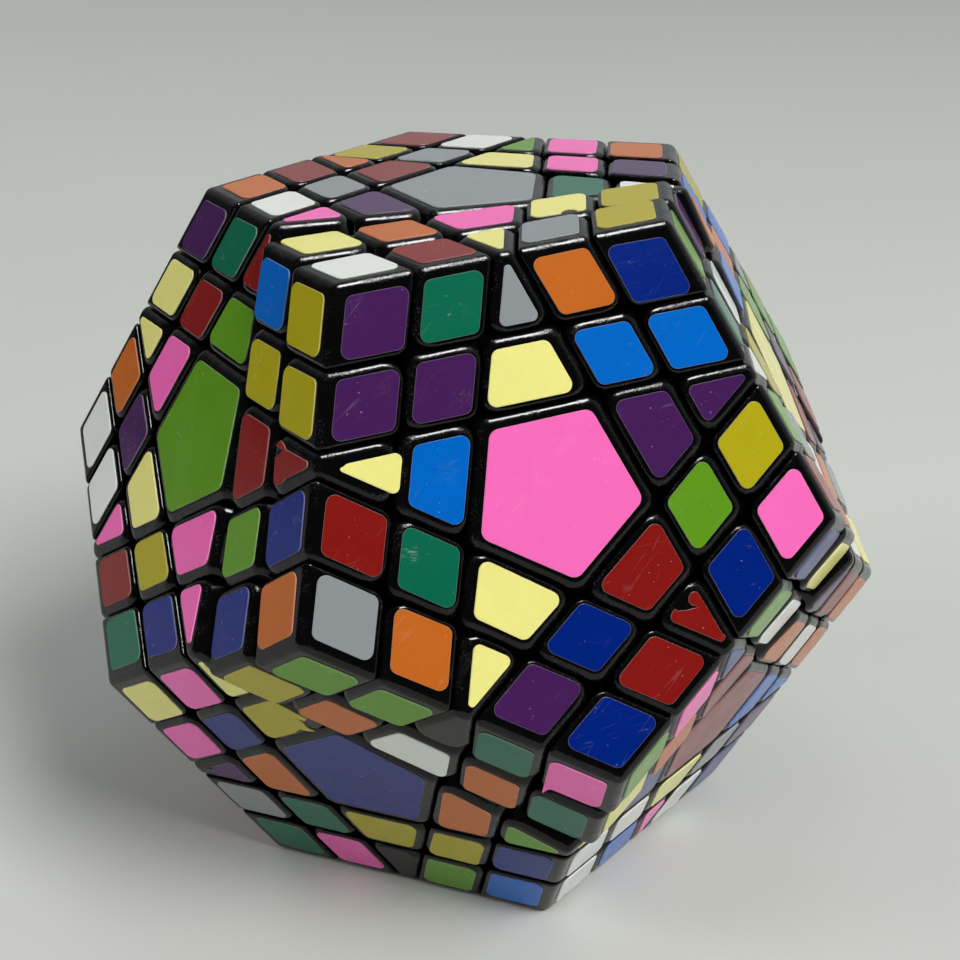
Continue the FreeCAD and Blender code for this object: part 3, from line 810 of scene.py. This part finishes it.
def make_stickers():
    """One piece for each face's stickers on each body."""
    letters = all_letters()
    letter_order = list(VINYL_COLOURS)
    meshes = {}
    for key, kind, face, neighbour in sticker_places():
        letter = letters[key]
        if letter == "-":
            continue
        bands, margin, radius, _ = STICKER_KINDS[kind]
        outline = sticker_outline(bands, margin, radius)
        middle = sum(outline, Vector((0, 0))) / len(outline)
        peel = PEELED.get(key, [])
        tears = [peel[:2]] if peel else TORN.get(key, [])
        if tears:
            outline = torn_outline(outline, tears, str(key))
        chance = random.Random(str(key))
        shift = Vector((chance.gauss(0, SHIFT_SPREAD), chance.gauss(0, SHIFT_SPREAD)))
        if key in MISPLACED:
            shift = Vector(MISPLACED[key]) * MM
        turn = Matrix.Rotation(chance.gauss(0, TILT_SPREAD), 2)
        outline = [middle + shift + turn @ (point - middle) for point in outline]
        to_puzzle = face_matrix(face, neighbour)
        body = body_at(to_puzzle @ Vector((*middle, FACE_DISTANCE)))
        matrix = rest_matrix(body) @ to_puzzle
        mesh = meshes.setdefault((body, face), bmesh.new())
        add_sticker(mesh, outline, matrix, letter_order.index(letter))
        if peel:
            peel = [middle + shift + turn @ (Vector(point) * MM) for point in peel]
            add_peel(mesh, peel[:2], peel[2], matrix, letter_order.index(letter))
    for (body, face), mesh in meshes.items():
        bmesh.ops.recalc_face_normals(mesh, faces=mesh.faces)
        prefix = body.replace("_layer", "_") if body != "root" else ""
        replaced = prefix + "stickers"
        if body == "root" and face == "bottom":
            replaced = "resting_face_stickers"
        name = "%sstickers_%s" % (prefix, face)
        finish_piece(mesh, name, body, list(VINYL.values()), [replaced])


make_stickers()

# ---------------------------------------------------------------- stage, lights and camera

PAPER = srgb(211, 214, 211)
FLOOR_REACH = 3.0                # half the floor's side, and the backdrop's radius
BACKDROP_HEIGHT = 2.5
BACKDROP_SIDES = 96
FAR_START, FAR_END = 0.85, 2.2   # where the floor's own glow takes over from the lamps
FAR_GLOW = 0.30
BACKDROP_GLOW = 0.95


def floor_paper():
    """Matt pale paper that stays pale far from the lamps."""
    s = Shading("floor_paper")
    tone = s.remap(s.noise(0.004, 3), 0.3, 0.7)
    s.link(s.mix(tone, tuple(0.97 * value for value in PAPER), PAPER), s.shader.inputs["Base Color"])
    away = s.node("ShaderNodeVectorMath", operation="LENGTH")
    s.link(s.place, away.inputs[0])
    glow = s.remap(away.outputs["Value"], FAR_START, FAR_END, 0.0, FAR_GLOW)
    s.link(glow, s.shader.inputs["Emission Strength"])
    s.set(Roughness=0.8, Emission_Color=(*PAPER, 1))
    return s.material


def backdrop_paper():
    """Pale paper in an even light."""
    s = Shading("backdrop_paper")
    s.set(Base_Color=(0, 0, 0, 1), Emission_Color=(*PAPER, 1), Emission_Strength=BACKDROP_GLOW)
    return s.material


def stage_piece(name, mesh, material):
    """A surface of the stage, which isn't part of the object."""
    data = bpy.data.meshes.new(name)
    mesh.to_mesh(data)
    mesh.free()
    data.materials.append(material)
    piece = bpy.data.objects.new(name, data)
    bpy.context.scene.collection.objects.link(piece)
    return piece


def make_floor():
    mesh = bmesh.new()
    bmesh.ops.create_grid(mesh, x_segments=8, y_segments=8, size=FLOOR_REACH)
    stage_piece("floor", mesh, floor_paper())


def make_backdrop():
    """A pale ring around the floor that only the camera sees, so it lights nothing."""
    mesh = bmesh.new()
    bmesh.ops.create_circle(mesh, segments=BACKDROP_SIDES, radius=FLOOR_REACH)
    walls = bmesh.ops.extrude_edge_only(mesh, edges=mesh.edges)
    raised = [part for part in walls["geom"] if isinstance(part, bmesh.types.BMVert)]
    bmesh.ops.translate(mesh, verts=raised, vec=(0, 0, BACKDROP_HEIGHT))
    backdrop = stage_piece("backdrop", mesh, backdrop_paper())
    backdrop.visible_diffuse = False
    backdrop.visible_glossy = False
    backdrop.visible_shadow = False


def area_light(name, place, size, watts, colour, lights_matt=True, lights_gloss=True):
    """A square soft light aimed at the puzzle's centre, for matt or glossy shading or both."""
    data = bpy.data.lights.new(name, "AREA")
    data.shape = "SQUARE"
    data.size = size
    data.energy = watts
    data.color = colour
    light = bpy.data.objects.new(name, data)
    light.location = place
    light.rotation_euler = (CENTRE - Vector(place)).to_track_quat("-Z", "Y").to_euler()
    light.visible_camera = False
    light.visible_diffuse = lights_matt
    light.visible_glossy = lights_gloss
    bpy.context.scene.collection.objects.link(light)


PALE_SIDE = Vector((0.75, 0.65, 0.10)).normalized()
ROOM_DIM, ROOM_PALE = 0.04, 0.55


def make_world():
    """A room that is dim on one side of the puzzle and pale on the other."""
    world = bpy.data.worlds.new("room")
    bpy.context.scene.world = world
    world.use_nodes = True
    tree = world.node_tree
    background = tree.nodes["Background"]
    towards = tree.nodes.new("ShaderNodeVectorMath")
    towards.operation = "DOT_PRODUCT"
    towards.inputs[1].default_value = PALE_SIDE
    tree.links.new(tree.nodes.new("ShaderNodeTexCoord").outputs["Generated"], towards.inputs[0])
    ramp = tree.nodes.new("ShaderNodeMapRange")
    ramp.inputs["From Min"].default_value = -0.1
    ramp.inputs["From Max"].default_value = 0.9
    ramp.inputs["To Min"].default_value = ROOM_DIM
    ramp.inputs["To Max"].default_value = ROOM_PALE
    tree.links.new(towards.outputs["Value"], ramp.inputs["Value"])
    tree.links.new(ramp.outputs["Result"], background.inputs["Strength"])
    background.inputs["Color"].default_value = (0.95, 0.99, 1.0, 1)


# Camera, in edges of the dodecahedron from its centre, and the angles of its view.
CAMERA_PLACE = Vector((-1.225, -5.175, 2.576))
CAMERA_AIM = Vector((0.0143, 0.0, 0.0795))
CAMERA_ROLL = math.radians(-1.3)
CAMERA_LENS = 63.93
SENSOR_WIDTH = 36.0


def make_camera():
    data = bpy.data.cameras.new("camera")
    data.sensor_width = SENSOR_WIDTH
    data.lens = CAMERA_LENS
    data.clip_start = 0.01
    camera = bpy.data.objects.new("camera", data)
    camera.location = CENTRE + CAMERA_PLACE * EDGE
    look = (CAMERA_AIM - CAMERA_PLACE).to_track_quat("-Z", "Y").to_matrix().to_4x4()
    camera.rotation_euler = (look @ Matrix.Rotation(CAMERA_ROLL, 4, "Z")).to_euler()
    bpy.context.scene.collection.objects.link(camera)
    bpy.context.scene.camera = camera


make_floor()
make_backdrop()
make_world()
area_light("key", (0.60, -1.05, 1.35), 0.70, 27.5, (1.0, 0.98, 0.95), lights_gloss=False)
area_light("left_fill", (-2.6, 0.30, 1.30), 1.40, 22.5, (1.0, 0.98, 0.96), lights_gloss=False)
area_light("back_wash", (-0.5, 0.9, 0.7), 0.60, 1.3, (0.97, 1.0, 0.98), lights_gloss=False)
area_light("ceiling_panel", (0.10, 0.0, 0.80), 0.25, 6.5, (1.0, 1.0, 1.0), lights_matt=False)
make_camera()
bpy.context.scene.view_settings.view_transform = "Standard"
